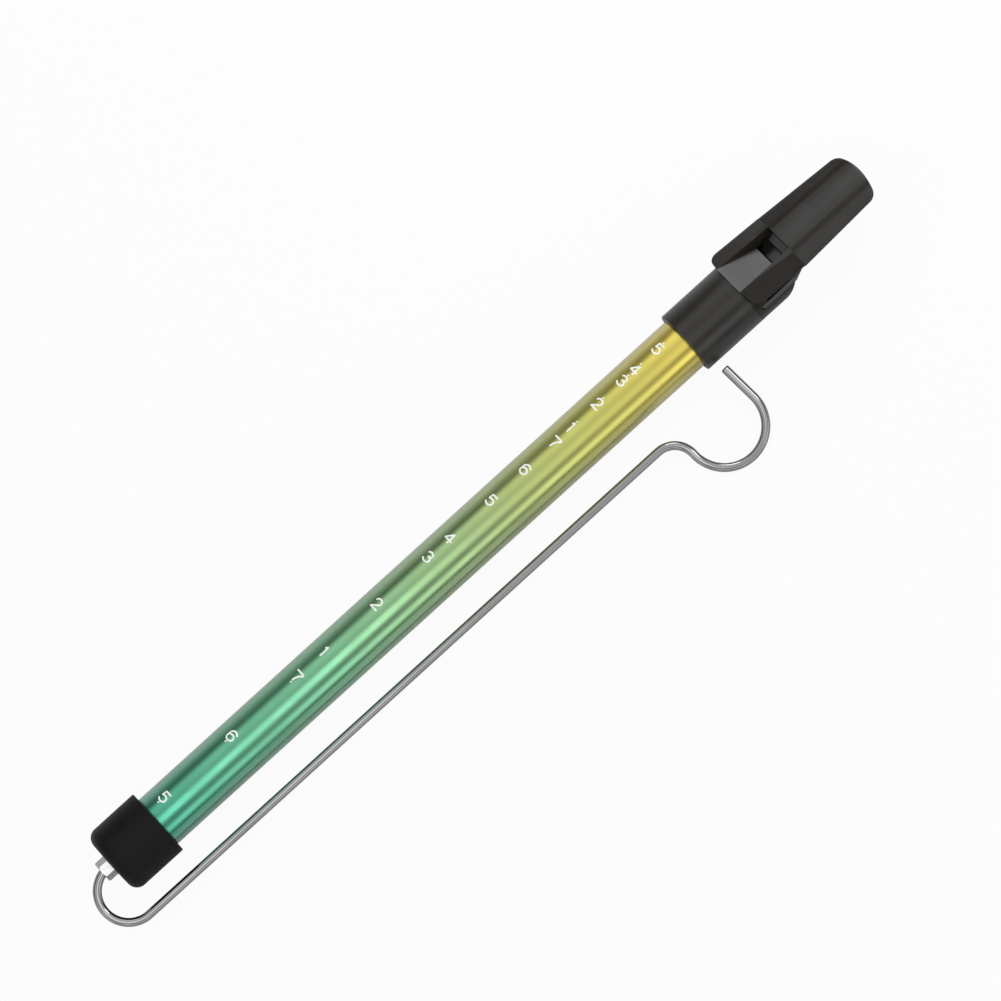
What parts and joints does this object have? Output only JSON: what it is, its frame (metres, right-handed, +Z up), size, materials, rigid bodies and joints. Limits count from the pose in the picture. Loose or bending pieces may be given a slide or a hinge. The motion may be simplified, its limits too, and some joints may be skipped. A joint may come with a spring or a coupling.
{
  "type": "slide whistle",
  "caption": "Slide whistle: an aluminium tube with a moulded mouthpiece head and an end cap, and a sealed piston that a bent steel rod with a finger hook pulls along the tube.",
  "frame": {"origin": "on the tube's axis, midway along the tube that shows between the end cap and the head", "axes": "+X along the tube towards the mouthpiece, +Z up as the whistle lies on a table, -Y towards the rod's return leg and finger hook"},
  "size_m": [0.2901, 0.0478, 0.0209],
  "materials": {
    "anodised_tube": "satin anodised, teal at the cap fading to yellow gold at the head",
    "moulded_plastic": "moulded black plastic with a low sheen",
    "polished_steel": "polished bright steel",
    "felt": "pressed felt",
    "piston_plastic": "turned white plastic",
    "seal_rubber": "greased rubber",
    "plain_steel": "plain steel",
    "nut_brass": "machined brass"
  },
  "bodies": {
    "whistle_body": {"tube": "anodised_tube", "mouthpiece_head": "moulded_plastic", "fipple_block": "moulded_plastic", "end_cap": "moulded_plastic", "guide_bush": "polished_steel", "felt_bumper": "felt"},
    "piston": {"piston_core": "piston_plastic", "front_seal": "seal_rubber", "rear_seal": "seal_rubber"},
    "rod": {"slide_rod": "polished_steel", "front_washer": "plain_steel", "piston_nut": "nut_brass", "rear_washer": "plain_steel", "retaining_ring": "plain_steel"}
  },
  "joints": [
    {"name": "piston_slide", "type": "slide", "parent": "whistle_body", "child": "piston", "axis": [-1, 0, 0], "range_m": [0, 0.1935]},
    {"name": "rod_swivel", "type": "hinge", "parent": "piston", "child": "rod", "pos_m": [0, 0, 0], "axis": [-1, 0, 0], "continuous": true}
  ]
}
